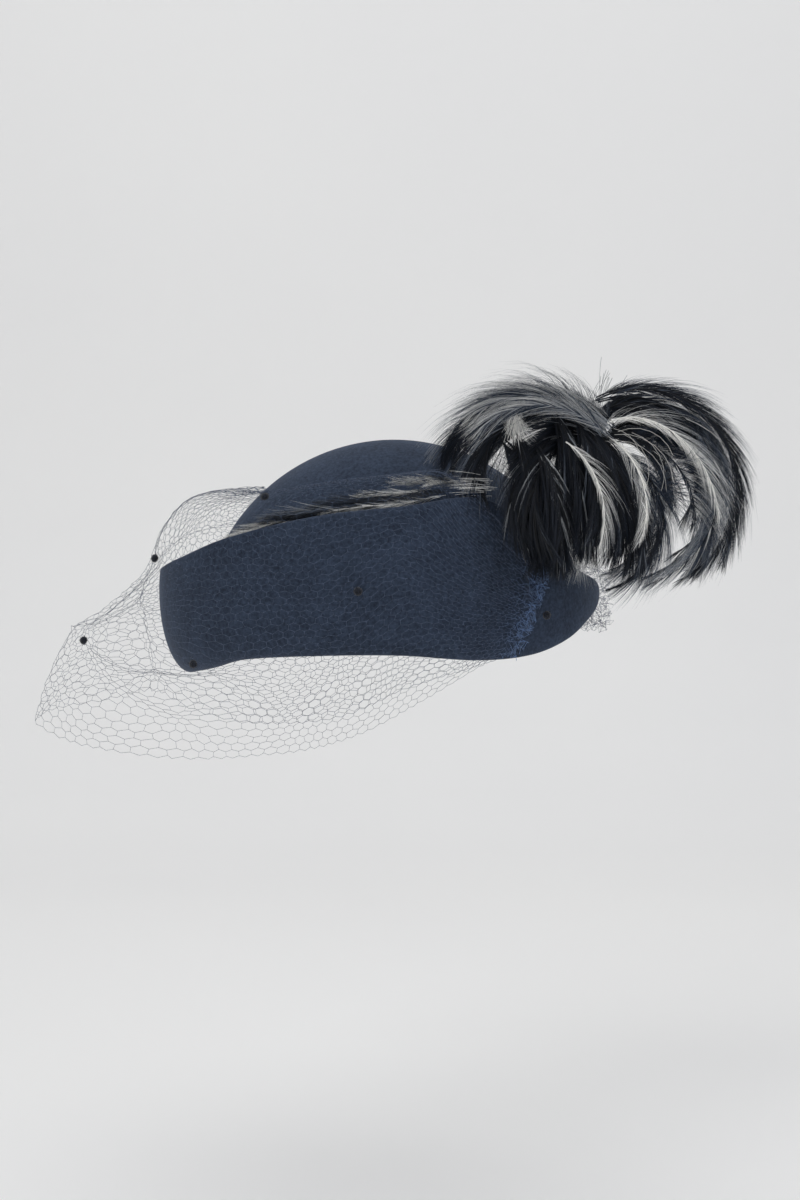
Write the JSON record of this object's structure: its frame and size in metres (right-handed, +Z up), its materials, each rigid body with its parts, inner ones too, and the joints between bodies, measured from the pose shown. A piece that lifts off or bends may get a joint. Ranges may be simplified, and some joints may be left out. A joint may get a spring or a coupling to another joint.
{
  "type": "felt cocktail hat with plume and face veil",
  "caption": "Small felt hat with a domed crown, deep turned-up brim, side plume of curled feathers and a dotted net veil hanging before the face.",
  "frame": {"origin": "middle of the head opening at the head line, where a head carries the hat", "axes": "+Z up, -Y to the front of the hat, +X to the wearer's left, where the plume is"},
  "size_m": [0.208, 0.3506, 0.1924],
  "materials": {
    "felt": "brushed navy fur felt, matt with a short nap",
    "pale_feather": "small grey, cream and navy feathers laid flat",
    "dark_feather": "curled cock feathers, black and navy with white ones, silky",
    "net": "fine navy six-sided millinery net",
    "chenille": "matt black chenille dots"
  },
  "bodies": {
    "root": {"crown": "felt", "brim": "felt", "feather_band": "pale_feather", "plume": "dark_feather", "veil": "net", "veil_dot_01": "chenille", "veil_dot_02": "chenille", "veil_dot_03": "chenille", "veil_dot_04": "chenille", "veil_dot_05": "chenille", "veil_dot_06": "chenille", "veil_dot_07": "chenille", "veil_dot_08": "chenille", "veil_dot_09": "chenille", "veil_dot_10": "chenille", "veil_dot_11": "chenille", "veil_dot_12": "chenille"}
  },
  "joints": []
}
